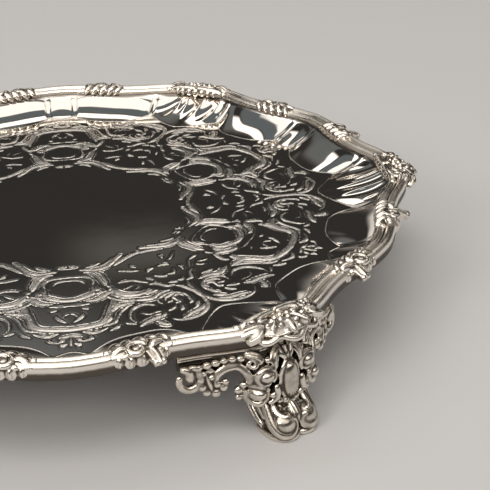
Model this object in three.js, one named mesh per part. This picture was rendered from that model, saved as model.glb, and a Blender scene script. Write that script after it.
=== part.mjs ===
// Silver salver: a shaped circular tray on three cast feet, 12 inches across the
// shell mounts. Millimetres, +Z up, the feet stand on Z = 0 and the Z axis runs
// through the middle of the plate. The outline repeats every 60 degrees: a cast
// shell at each corner, an acanthus leaf mount on either side of it, and a double
// reeded border in six lengths between the shells.
import * as THREE from "three";

// ---------------------------------------------------------------- dimensions
const R = 138; // nominal radius, middle of the reeded border
const FOOT_HEIGHT = 35; // table to the top of the plate
const SHEET = 1.0; // thickness of the raised silver sheet
const COVE_RISE = 6.0; // plate to the flange that carries the border
const FLANGE_OUT = 2.4; // flange edge, outside the middle of the border
const COVE_TOP_IN = 3.9; // top of the cove, inside the middle of the border
const GAP = 0.3; // clearance between soldered pieces
const SECTOR = 60; // degrees from one shell to the next
const FIRST_SHELL = -90; // direction of the first shell, degrees
const LEAF_ANGLE = 20.5; // leaf mount to its nearest shell, degrees
const SHELL_HALF = 6.3; // half width of a shell mount, degrees
const LEAF_HALF = 4.3; // half width of a leaf mount, degrees
const SHELL_TIP = 0.075 * R; // shell tip, outside the middle of the border
const LEAF_TIP = 0.075 * R; // leaf tongue, outside the middle of the border
const SHELL_CREST = 11.6; // top of a shell above the plate
const LEAF_CREST = 11.2; // top of a leaf above the plate
const APRON_HALF = 15.2; // half width of a foot apron, degrees
const APRON_FACE = -2.6; // apron front face, from the middle of the border
const APRON_THICK = 2.0; // casting thickness of the apron
const APRON_TOP = 3.3; // top of the apron above the plate
const LEG_BACK = 118; // radius of the back of a leg where it meets the plate
const TOE_RADIUS = 152; // front of the toe
const SOLE_IN = 134.5; // inner end of the flat sole
const SOLE_OUT = 149.5; // outer end of the flat sole

// Middle of the border, in radii, against the angle from the nearest shell.
const OUTLINE = [
  [0, 1.03], [5, 1.022], [8, 1.008], [10, 0.995], [12, 0.985], [14, 0.978],
  [17, 0.974], [20.5, 0.98], [25, 0.992], [30, 1.0],
];
// Foot of the cove, where it meets the flat plate, in radii. Each low value is the
// middle of a panel and each high one the crease between two panels.
const COVE_FOOT = [
  [0, 0.815], [3, 0.828], [6, 0.862], [9, 0.888], [12, 0.85], [15, 0.832],
  [18, 0.832], [21, 0.846], [24, 0.872], [27, 0.888], [30, 0.86],
];
// Lower edge of a foot apron, below the plate top, against the angle from its axis.
const APRON_EDGE = [
  [0, -22.4], [2, -22.2], [4, -21.6], [5.2, -21.4], [6.4, -18], [7.2, -11], [8, -8.2],
  [9, -9.4], [9.8, -14.6], [11.2, -14.8], [12.4, -11.4], [13.8, -13.6], [15.2, -11.6],
];

// ---------------------------------------------------------------- helpers
const rad = (d) => (d * Math.PI) / 180;

function table(rows, x) {
  const a = Math.abs(x);
  for (let i = 1; i < rows.length; i++)
    if (a <= rows[i][0]) {
      const [x0, y0] = rows[i - 1],
        [x1, y1] = rows[i];
      return y0 + ((y1 - y0) * (a - x0)) / (x1 - x0);
    }
  return rows[rows.length - 1][1];
}

// A smooth reading of a table: the mean over a small window.
function smooth(rows, x, half) {
  let s = 0;
  for (let i = -2; i <= 2; i++) {
    let a = Math.abs(x + (i * half) / 2);
    if (a > SECTOR / 2) a = SECTOR - a;
    s += table(rows, a);
  }
  return s / 5;
}

// Angle from the nearest shell, -30 to 30 degrees.
function fromShell(deg) {
  const a = (((deg - FIRST_SHELL + SECTOR / 2) % SECTOR) + SECTOR) % SECTOR;
  return a - SECTOR / 2;
}
const borderRadius = (deg) => R * smooth(OUTLINE, fromShell(deg), 1.5);

// The point u outside the middle of the border, measured square to the outline.
function onBorder(deg, u, z) {
  const r = borderRadius(deg),
    h = 0.25,
    slope = (borderRadius(deg + h) - borderRadius(deg - h)) / rad(2 * h),
    n = Math.hypot(r, slope),
    c = Math.cos(rad(deg)),
    s = Math.sin(rad(deg)),
    nr = r / n,
    nt = -slope / n;
  return [r * c + u * (nr * c - nt * s), r * s + u * (nr * s + nt * c), FOOT_HEIGHT + z];
}

function mapped(geometry, place) {
  const p = geometry.getAttribute("position");
  for (let i = 0; i < p.count; i++) p.setXYZ(i, ...place(p.getX(i), p.getY(i), p.getZ(i)));
  for (const name of ["normal", "uv"]) geometry.deleteAttribute(name);
  geometry.computeVertexNormals();
  return geometry;
}

// A section extruded along the border. The section's x runs outwards and its y runs
// up; place(u, v, t) bends it, t from -1 to 1 along the piece.
function swept(section, steps, place) {
  const shape = new THREE.Shape(section.map(([x, y]) => new THREE.Vector2(x, y)));
  const g = new THREE.ExtrudeGeometry(shape, { depth: 1, steps, bevelEnabled: false, curveSegments: 1 });
  return mapped(g, (x, y, z) => place(x, y, 1 - 2 * z));
}

// ---------------------------------------------------------------- tray body
// One raised sheet: flat plate, cove and the flange under the border. The lathe's
// profile is written in stages: 0 to 1 across the plate, 1 to 2 up the cove and
// 2 to 3 across the flange, with y = 0 on the upper face and -1 on the lower.
const COVE_STAGES = [1.35, 1.7];
function trayPoint(stage, face, deg) {
  const foot = R * table(COVE_FOOT, fromShell(deg)),
    mid = borderRadius(deg),
    top = mid - COVE_TOP_IN;
  if (stage <= 1) return [foot * stage, face * SHEET];
  if (stage >= 2) return [top + (stage - 2) * (FLANGE_OUT + COVE_TOP_IN), COVE_RISE + face * SHEET];
  const t = stage - 1,
    r = foot + (top - foot) * t,
    z = COVE_RISE * (0.25 * t + 0.75 * t * t),
    slope = (COVE_RISE * (0.25 + 1.5 * t)) / (top - foot),
    n = Math.hypot(1, slope);
  return [r - (face * SHEET * slope) / n, z + (face * SHEET) / n];
}
const trayProfile = [
  [0, -1], [1, -1], ...COVE_STAGES.map((s) => [s, -1]), [2, -1], [3, -1],
  [3, 0], [2, 0], ...[...COVE_STAGES].reverse().map((s) => [s, 0]), [1, 0], [0, 0],
];
function trayBody() {
  const g = new THREE.LatheGeometry(trayProfile.map(([x, y]) => new THREE.Vector2(x, y)), 120);
  return mapped(g, (x, y, z) => {
    const stage = Math.hypot(x, z),
      deg = THREE.MathUtils.radToDeg(Math.atan2(-z, x)),
      near = trayProfile.reduce((a, b) => (Math.abs(b[0] - stage) < Math.abs(a[0] - stage) ? b : a))[0];
    const [r, h] = trayPoint(near, y, deg);
    return [r * Math.cos(rad(deg)), r * Math.sin(rad(deg)), FOOT_HEIGHT + h];
  });
}

// ---------------------------------------------------------------- border
// Double reed, with an outer lip that hides the edge of the sheet.
const BASE = COVE_RISE + GAP;
const REED = [
  [FLANGE_OUT + GAP, 3.9], [3.6, 3.9], [3.9, 7.2], [3.2, 9.1], [1.7, 9.9], [0.3, 9.4],
  [-0.4, 8.5], [-1.3, 9.1], [-2.7, 8.9], [-3.6, 7.7], [-3.1, BASE], [FLANGE_OUT + GAP, BASE],
];
function borderSection(k) {
  const gapDeg = THREE.MathUtils.radToDeg(GAP / 2 / (R * 1.03)),
    mid = FIRST_SHELL + SECTOR * (k + 0.5),
    half = SECTOR / 2 - gapDeg;
  return swept(REED, 14, (u, v, t) => onBorder(mid + t * half, u, v));
}

// ---------------------------------------------------------------- mounts
// A mount is a saddle over the border: TUNNEL is its inside, clear of the reeds,
// and SADDLE the outside at its fullest, drawn in towards the ends.
const TUNNEL = [[-3.95, 6.6], [-3.95, 8.1], [-2.9, 9.4], [1.5, 10.4], [3.7, 9.5], [4.25, 7.3], [4.25, 3.2]];
function nearest(u, v) {
  let best = [1e9, u, v];
  for (let i = 1; i < TUNNEL.length; i++) {
    const [ax, ay] = TUNNEL[i - 1],
      [bx, by] = TUNNEL[i],
      dx = bx - ax,
      dy = by - ay,
      t = Math.min(1, Math.max(0, ((u - ax) * dx + (v - ay) * dy) / (dx * dx + dy * dy))),
      d = Math.hypot(u - ax - t * dx, v - ay - t * dy);
    if (d < best[0]) best = [d, ax + t * dx, ay + t * dy];
  }
  return best;
}
function saddle(tip, crest, inner) {
  return [
    ...TUNNEL,
    [6.2, 3.4], [tip, 6.6], [tip - 0.8, 8.9], [tip * 0.55, crest - 0.5], [1.0, crest],
    [-3.0, crest - 0.7], [-inner, 9.2], [-inner + 0.8, 6.7],
  ].reverse();
}
function mount(deg, half, steps, section, full) {
  return swept(section, steps, (u, v, t) => {
    const [d, qu, qv] = nearest(u, v);
    let pu = u,
      pv = v;
    if (d > 0.01) {
      const k = full(t, u);
      pu = qu + (u - qu) * k;
      pv = qv + (v - qv) * k;
    }
    return onBorder(deg + half * t, pu, pv);
  });
}
const SHELL_SECTION = saddle(SHELL_TIP, SHELL_CREST, 7.2);
const LEAF_SECTION = saddle(LEAF_TIP, LEAF_CREST, 6.4);
const shellMount = (k) =>
  mount(FIRST_SHELL + SECTOR * k, SHELL_HALF, 10, SHELL_SECTION,
    (t, u) => 0.3 + 0.7 * Math.pow(Math.max(0, 1 - t * t), 0.6) * (0.92 + 0.08 * Math.cos(t * Math.PI * 7)));
const leafMount = (deg) =>
  mount(deg, LEAF_HALF, 7, LEAF_SECTION,
    (t, u) => (u > 4.4 ? 0.3 + 0.7 * Math.exp(-Math.pow(t / 0.42, 2)) : 0.45 + 0.55 * Math.pow(Math.max(0, 1 - t * t), 0.5)));

// ---------------------------------------------------------------- feet
// The apron is a cast panel that follows the border beneath the tray.
const APRON_SECTION = [[0, 0], [1, 0], [1.35, 0.15], [1.35, 0.5], [1.0, 0.62], [1, 1], [0, 1]];
function footApron(deg) {
  return swept(APRON_SECTION, 26, (x, y, t) => {
    const a = APRON_HALF * t,
      low = table(APRON_EDGE, a),
      bulge = 4.4 * Math.exp(-Math.pow(a / 5.6, 4)) * Math.min(1, 1.3 * (1 - y));
    return onBorder(deg + a, APRON_FACE - APRON_THICK + x * APRON_THICK + bulge, low + (APRON_TOP - low) * y);
  });
}

// The leg stands behind the apron, soldered under the plate, sweeps forward below
// it and ends in a heart-shaped scroll toe with a flat sole.
const LEG_SIDE = [
  [LEG_BACK, -1.5], [LEG_BACK + 0.5, -7], [LEG_BACK + 3.5, -15], [LEG_BACK + 9, -22.5], [SOLE_IN - 3, -29], [SOLE_IN - 1.2, -33.2],
  [SOLE_IN, -FOOT_HEIGHT], [(SOLE_IN + SOLE_OUT) / 2, -FOOT_HEIGHT], [SOLE_OUT, -FOOT_HEIGHT], [TOE_RADIUS - 0.5, -33], [TOE_RADIUS, -30], [TOE_RADIUS - 0.8, -27.2],
  [TOE_RADIUS - 3, -25], [TOE_RADIUS - 8, -24], [136.5, -23.2], [134.0, -19], [134.0, -12], [132.6, -6], [129.0, -1.5],
];
const LEG_WIDTH = [[0, 8.5], [8, 9.5], [16, 9.5], [22, 8.6], [25, 8.8], [28, 10.2], [31, 10.8], [33.5, 10.4], [35, 9.2]];
function footLeg(deg) {
  return swept(LEG_SIDE, 6, (r, v, t) => {
    const w = table(LEG_WIDTH, v) * t,
      lobe = r > 140 ? 1.5 * Math.pow(Math.max(0, 1 - Math.abs(t) * 2.2), 1) + 2.4 * t * t * t * t : 0;
    const c = Math.cos(rad(deg)),
      s = Math.sin(rad(deg)),
      x = r - lobe;
    return [x * c - w * s, x * s + w * c, FOOT_HEIGHT + v];
  });
}

// ---------------------------------------------------------------- assembly
const silver = (tint, roughness) => new THREE.MeshStandardMaterial({ color: tint, metalness: 1, roughness });
const salver = new THREE.Group();
function add(parent, name, geometry, material) {
  const mesh = new THREE.Mesh(geometry, material);
  mesh.name = name;
  parent.add(mesh);
}
add(salver, "tray_body", trayBody(), silver(0xe6e2da, 0.08));
const border = new THREE.Group(),
  mounts = new THREE.Group(),
  feet = new THREE.Group();
salver.add(border, mounts, feet);
for (let k = 0; k < 6; k++) {
  const at = FIRST_SHELL + SECTOR * k;
  add(border, `border_section_${k + 1}`, borderSection(k), silver(0xe8e4dc, 0.12));
  add(mounts, `shell_mount_${k + 1}`, shellMount(k), silver(0xe4ded2, 0.2));
  add(mounts, `leaf_mount_${2 * k + 1}`, leafMount(at + LEAF_ANGLE), silver(0xe4ded2, 0.18));
  add(mounts, `leaf_mount_${2 * k + 2}`, leafMount(at + SECTOR - LEAF_ANGLE), silver(0xe4ded2, 0.18));
}
for (let k = 0; k < 3; k++) {
  const at = FIRST_SHELL + 2 * SECTOR * k;
  add(feet, `foot_apron_${k + 1}`, footApron(at), silver(0xdcd5c8, 0.2));
  add(feet, `foot_leg_${k + 1}`, footLeg(at), silver(0xdcd5c8, 0.16));
}

export default salver;
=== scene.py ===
"""Silver salver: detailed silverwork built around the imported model.

Metres, +Z up, feet on Z = 0, the Z axis through the middle of the plate. Shapes are
written in millimetres and scaled as each mesh is made. Heights called z or v are
above the top of the plate unless a note says otherwise.
"""
import math

import bpy
import numpy as np
from mathutils import Matrix, Vector


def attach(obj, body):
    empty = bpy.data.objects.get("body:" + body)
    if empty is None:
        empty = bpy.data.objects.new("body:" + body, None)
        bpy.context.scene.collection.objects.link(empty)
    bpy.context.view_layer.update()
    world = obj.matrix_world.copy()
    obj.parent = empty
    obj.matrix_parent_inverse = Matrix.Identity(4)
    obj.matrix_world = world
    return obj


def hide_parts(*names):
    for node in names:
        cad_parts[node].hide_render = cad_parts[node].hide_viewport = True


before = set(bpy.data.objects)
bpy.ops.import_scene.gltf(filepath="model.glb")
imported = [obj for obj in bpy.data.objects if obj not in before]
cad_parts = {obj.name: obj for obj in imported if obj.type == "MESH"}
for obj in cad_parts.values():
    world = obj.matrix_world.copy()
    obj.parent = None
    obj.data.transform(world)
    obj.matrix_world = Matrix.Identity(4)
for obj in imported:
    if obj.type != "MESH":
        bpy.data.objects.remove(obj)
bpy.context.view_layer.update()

R = 138.0  # nominal radius
PLATE = 35.0  # table to the top of the plate
MM = 0.001
RNG = np.random.default_rng(11)


# ------------------------------------------------------------------ camera
def place_camera():
    focal, el, dist = 1262.348, 0.4507893, 3.859928
    cx, cy, roll, turn = 66.8201, 207.6748, -0.0289533, math.radians(-37.5)
    fw = np.array([0, math.cos(el), -math.sin(el)])
    up = np.array([0, math.sin(el), math.cos(el)])
    rt = np.array([1.0, 0, 0])
    c0, c1 = (cx - 245) / focal * dist, -(cy - 245) / focal * dist
    eye = -(rt * c0 + up * c1 + fw * dist)
    right = math.cos(roll) * rt + math.sin(roll) * up
    top = -math.sin(roll) * rt + math.cos(roll) * up
    spin = np.array([[math.cos(turn), -math.sin(turn), 0], [math.sin(turn), math.cos(turn), 0], [0, 0, 1]])
    eye, right, top, fw = (spin @ v for v in (eye, right, top, fw))
    cam = bpy.data.objects.new("camera", bpy.data.cameras.new("camera"))
    bpy.context.scene.collection.objects.link(cam)
    m = Matrix.Identity(4)
    for i in range(3):
        m[i][0], m[i][1], m[i][2] = right[i], top[i], -fw[i]
        m[i][3] = eye[i] * R * MM + (PLATE * MM if i == 2 else 0)
    cam.matrix_world = m
    cam.data.sensor_width = 36
    cam.data.lens = focal / 490 * 36
    cam.data.clip_start = 0.01
    cam.data.clip_end = 60
    bpy.context.scene.camera = cam
    return fw


LOOK = place_camera()
VIEW_TURN = math.radians(-37.5)  # the camera looks along +Y turned by this much


# ------------------------------------------------------------------ curves of the outline
OUTLINE = np.array([(0, 1.03), (5, 1.022), (8, 1.008), (10, .995), (12, .985), (14, .978), (17, .974), (20.5, .98), (25, .992), (30, 1.0)])


def from_shell(deg):
    return (np.asarray(deg, float) + 90 + 30) % 60 - 30


def smooth_table(rows, x, half=1.5):
    s = 0
    for i in np.linspace(-1, 1, 9):
        a = np.abs(x + i * half)
        a = np.where(a > 30, 60 - a, a)
        s = s + np.interp(a, rows[:, 0], rows[:, 1])
    return s / 9


def border_radius(deg):
    return R * smooth_table(OUTLINE, from_shell(deg))


def on_border(deg, u, v):
    """The point u outside the middle of the border, square to the outline, v above the plate."""
    deg, u, v = np.broadcast_arrays(np.asarray(deg, float), u, v)
    r = border_radius(deg)
    h = 0.4
    slope = (border_radius(deg + h) - border_radius(deg - h)) / math.radians(2 * h)
    n = np.hypot(r, slope)
    c, s = np.cos(np.radians(deg)), np.sin(np.radians(deg))
    nr, nt = r / n, -slope / n
    return np.stack([r * c + u * (nr * c - nt * s), r * s + u * (nr * s + nt * c), PLATE + v], -1)


def cove_foot(d):
    a = np.abs(d)
    one = 0.787 + 0.100 * (a / 9) ** 1.6
    m = (a - 17.0) / np.where(a < 17.0, 8.0, 10.0)
    two = 0.802 + np.where(a < 17.0, 0.085, 0.068) * np.abs(m) ** 3
    three = 0.848 + 0.022 * np.abs((a - 30) / 3) ** 1.5
    return R * np.where(a < 9, one, np.where(a < 27, two, three))


# ------------------------------------------------------------------ mesh tools
class Soup:
    """Vertices in millimetres and quads or triangles."""

    def __init__(self):
        self.v, self.q, self.t, self.n = [], [], [], 0

    def points(self, p):
        base = self.n
        p = np.asarray(p, float).reshape(-1, 3)
        self.v.append(p)
        self.n += len(p)
        return base

    def grid(self, p, loop_i=False, loop_j=False, flip=False):
        ni, nj = p.shape[:2]
        base = self.points(p)
        a, b = np.meshgrid(np.arange(ni if loop_i else ni - 1), np.arange(nj if loop_j else nj - 1), indexing="ij")
        a2, b2 = (a + 1) % ni, (b + 1) % nj
        q = np.stack([a * nj + b, a2 * nj + b, a2 * nj + b2, a * nj + b2], -1).reshape(-1, 4) + base
        self.q.append(q[:, ::-1] if flip else q)
        return base

    def closed_tube(self, p):
        """Rings p[i, j] joined along i, with a fan closing each end."""
        ni, nj = p.shape[:2]
        base = self.grid(p, loop_j=True)
        ends = self.points([p[0].mean(0), p[-1].mean(0)])
        j = np.arange(nj)
        k = (j + 1) % nj
        last = base + (ni - 1) * nj
        self.t.append(np.stack([np.full(nj, ends), base + j, base + k], -1))
        self.t.append(np.stack([np.full(nj, ends + 1), last + k, last + j], -1))

    def verts(self):
        return np.concatenate(self.v)

    def faces(self):
        q = np.concatenate(self.q) if self.q else np.zeros((0, 4), int)
        t = np.concatenate(self.t) if self.t else np.zeros((0, 3), int)
        return q, t


def mesh_from(name, v, q, t, scale=MM):
    me = bpy.data.meshes.new(name)
    me.vertices.add(len(v))
    me.vertices.foreach_set("co", (np.asarray(v) * scale).astype(np.float32).ravel())
    loops = np.concatenate([q.ravel(), t.ravel()]).astype(np.int32)
    me.loops.add(len(loops))
    me.loops.foreach_set("vertex_index", loops)
    starts = np.concatenate([np.arange(len(q)) * 4, len(q) * 4 + np.arange(len(t)) * 3]).astype(np.int32)
    me.polygons.add(len(starts))
    me.polygons.foreach_set("loop_start", starts)
    me.polygons.foreach_set("use_smooth", np.ones(len(starts), bool))
    me.update(calc_edges=True)
    me.validate()
    return me


def read_mesh(me):
    v = np.empty(len(me.vertices) * 3, np.float32)
    me.vertices.foreach_get("co", v)
    n = np.empty(len(me.vertices) * 3, np.float32)
    me.vertices.foreach_get("normal", n)
    e = np.empty(len(me.edges) * 2, np.int32)
    me.edges.foreach_get("vertices", e)
    return v.reshape(-1, 3).astype(float), n.reshape(-1, 3).astype(float), e.reshape(-1, 2)


def relax(v, e, times, factor=0.5):
    deg = np.bincount(e.ravel(), minlength=len(v)).astype(float)[:, None]
    deg[deg == 0] = 1
    for _ in range(times):
        s = np.stack([np.bincount(e[:, 0], v[e[:, 1], k], len(v)) + np.bincount(e[:, 1], v[e[:, 0], k], len(v)) for k in range(3)], -1)
        v = v + factor * (s / deg - v)
    return v


def cavity_of(v, n, e, times=10):
    """How far each point lies below its smoothed neighbourhood, in the units of v."""
    return ((relax(v, e, times) - v) * n).sum(1)


def add_values(me, name, values):
    at = me.attributes.new(name, "FLOAT", "POINT")
    at.data.foreach_set("value", np.asarray(values, np.float32))


def piece(name, me, nodes, material):
    ob = bpy.data.objects.new(name, me)
    bpy.context.scene.collection.objects.link(ob)
    me.materials.append(material)
    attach(ob, "root")
    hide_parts(*nodes)
    return ob


def fused(name, soup, place, voxel=0.3, smooth=2):
    """The soup, placed, as one skin: overlapping shapes joined by a voxel remesh. Returns
    vertices in mm, quads, triangles and the cavity of each vertex."""
    q, t = soup.faces()
    me = mesh_from(name + "_raw", place(soup.verts()), q, t, 1.0)
    ob = bpy.data.objects.new(name + "_raw", me)
    bpy.context.scene.collection.objects.link(ob)
    mod = ob.modifiers.new("skin", "REMESH")
    mod.mode = "VOXEL"
    mod.voxel_size = voxel
    mod.adaptivity = 0
    deps = bpy.context.evaluated_depsgraph_get()
    out = bpy.data.meshes.new_from_object(ob.evaluated_get(deps))
    bpy.data.objects.remove(ob)
    bpy.data.meshes.remove(me)
    v, n, e = read_mesh(out)
    v = relax(v, e, smooth)
    out.vertices.foreach_set("co", v.astype(np.float32).ravel())
    out.update()
    v, n, e = read_mesh(out)
    # depth at two scales: the broad one spreads painted shade over wide hollows as well as oxide
    cav = np.maximum(cavity_of(v, n, e, 12), 0.75 * cavity_of(v, n, e, 60))
    total = np.empty(len(out.polygons), np.int32)
    out.polygons.foreach_get("loop_total", total)
    idx = np.empty(len(out.loops), np.int32)
    out.loops.foreach_get("vertex_index", idx)
    start = np.empty(len(out.polygons), np.int32)
    out.polygons.foreach_get("loop_start", start)
    quads = idx[start[total == 4][:, None] + np.arange(4)]
    tris = idx[start[total == 3][:, None] + np.arange(3)]
    bpy.data.meshes.remove(out)
    # stray crumbs are dropped: only the largest connected skin stays
    label = np.arange(len(v))
    while True:
        m = np.minimum(label[e[:, 0]], label[e[:, 1]])
        new = label.copy()
        np.minimum.at(new, e[:, 0], m)
        np.minimum.at(new, e[:, 1], m)
        new = new[new]
        if (new == label).all():
            break
        label = new
    keep = label == np.bincount(label).argmax()
    index = np.cumsum(keep) - 1
    quads = index[quads[keep[quads].all(1)]]
    tris = index[tris[keep[tris].all(1)]] if len(tris) else tris.reshape(0, 3)
    return v[keep], quads, tris, cav[keep]


def turned(v, deg, mirror=False):
    """Turned about Z; mirror flips across the X = 0 plane first."""
    v = v.copy()
    if mirror:
        v[:, 0] = -v[:, 0]
    c, s = math.cos(math.radians(deg)), math.sin(math.radians(deg))
    return np.stack([v[:, 0] * c - v[:, 1] * s, v[:, 0] * s + v[:, 1] * c, v[:, 2]], -1)


# ------------------------------------------------------------------ ornament tools
def through(points, n):
    """A smooth curve (Catmull-Rom) through rows of any width."""
    p = np.asarray(points, float)
    if len(p) == 2:
        return p[0] + (p[1] - p[0]) * np.linspace(0, 1, n)[:, None]
    p = np.vstack([2 * p[0] - p[1], p, 2 * p[-1] - p[-2]])
    seg = len(p) - 3
    x = np.linspace(0, seg, n)
    i = np.minimum(x.astype(int), seg - 1)
    f = (x - i)[:, None]
    a, b, c, d = p[i], p[i + 1], p[i + 2], p[i + 3]
    return 0.5 * (2 * b + (c - a) * f + (2 * a - 5 * b + 4 * c - d) * f ** 2 + (3 * b - a - 3 * c + d) * f ** 3)


def unit(a):
    return a / np.maximum(np.linalg.norm(a, axis=-1, keepdims=True), 1e-9)


def frames(path, ref):
    t = unit(np.gradient(path, axis=0))
    ref = np.broadcast_to(np.asarray(ref, float), path.shape)
    b = unit(np.cross(t, ref))
    return t, unit(np.cross(b, t)), b


def tube(soup, rows, ref=(0, 0, 1), n=36, sides=14, flat=1.0, ridges=0, depth=0.0, round_ends=True):
    """A tube through rows of (x, y, z, radius). flat scales its height along ref, and
    ridges cuts that many grooves along it."""
    c = through(rows, n)
    path, rad = c[:, :3], np.maximum(c[:, 3], 0.02)
    if round_ends:
        along = np.concatenate([[0], np.cumsum(np.linalg.norm(np.diff(path, axis=0), axis=1))])
        for dist in (along, along[-1] - along):
            rad = rad * np.sqrt(np.clip(1 - (1 - np.clip(dist / np.maximum(rad, 1e-3), 0, 1)) ** 2, 0.01, 1))
    _, up, side = frames(path, ref)
    a = np.linspace(0, 2 * math.pi, sides, endpoint=False)
    shape = 1 - depth * (0.5 - 0.5 * np.cos(a * ridges)) if ridges else np.ones(sides)
    p = path[:, None] + (rad[:, None] * np.cos(a) * shape)[..., None] * side[:, None] + (rad[:, None] * flat * np.sin(a) * shape)[..., None] * up[:, None]
    soup.closed_tube(p)


def pearl(soup, centre, r, squash=(1, 1, 1), n=14):
    a = np.linspace(0, math.pi, n)[1:-1, None]
    b = np.linspace(0, 2 * math.pi, n + 4, endpoint=False)[None]
    p = np.stack([np.sin(a) * np.cos(b), np.sin(a) * np.sin(b), np.cos(a) + 0 * b], -1) * np.asarray(squash) * r + np.asarray(centre, float)
    soup.closed_tube(p)


def volute(soup, centre, r0, r1, a0, a1, rad0, rad1, e1=(1, 0, 0), e2=(0, 1, 0), lift=0.0, n=48, ridges=0, depth=0.0, flat=1.0, ref=None):
    """A spiral band in the plane of e1 and e2, radius r0 to r1, angle a0 to a1 in degrees."""
    e1, e2 = np.asarray(e1, float), np.asarray(e2, float)
    s = np.linspace(0, 1, 24)
    a = np.radians(a0 + (a1 - a0) * s)
    r = r0 + (r1 - r0) * s ** 0.8
    nrm = np.cross(e1, e2)
    p = np.asarray(centre, float) + (r * np.cos(a))[:, None] * e1 + (r * np.sin(a))[:, None] * e2 + (lift * s)[:, None] * nrm
    rows = np.hstack([p, (rad0 + (rad1 - rad0) * s)[:, None]])
    tube(soup, rows, ref=nrm if ref is None else ref, n=n, ridges=ridges, depth=depth, flat=flat)


def blade(soup, rows, ref=(0, 0, 1), n=30, m=13, crown=0.35, ribs=3, rib=0.12, thick=0.9, lobes=0, lobe=0.0, hollow=0.0):
    """A leaf through rows of (x, y, z, half width): crowned or hollow across, ribbed along,
    its edge lobed."""
    c = through(rows, n)
    path, w = c[:, :3], np.maximum(c[:, 3], 0.05)
    t = np.linspace(0, 1, n)
    if lobes:
        w = w * (1 - lobe * (0.5 - 0.5 * np.cos(2 * math.pi * lobes * t)))
    _, up, side = frames(path, ref)
    a = np.linspace(-1, 1, m)
    top = crown * (1 - a ** 2) - hollow * (1 - np.abs(a)) + rib * np.cos(a * math.pi * ribs)
    x = np.concatenate([a, a[::-1] * 0.85])
    y = np.concatenate([top, np.zeros(m)])
    low = np.concatenate([np.zeros(m), np.ones(m)])
    p = path[:, None] + (w[:, None] * x)[..., None] * side[:, None] + (w[:, None] * y - thick * low * np.minimum(1, w[:, None] / 1.2))[..., None] * up[:, None]
    soup.closed_tube(p)


def slab(soup, top, bottom):
    """A closed solid between two grids of the same size."""
    ni, nj = top.shape[:2]
    p = np.concatenate([top, bottom[:, ::-1]], 1)
    soup.closed_tube(p)


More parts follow.
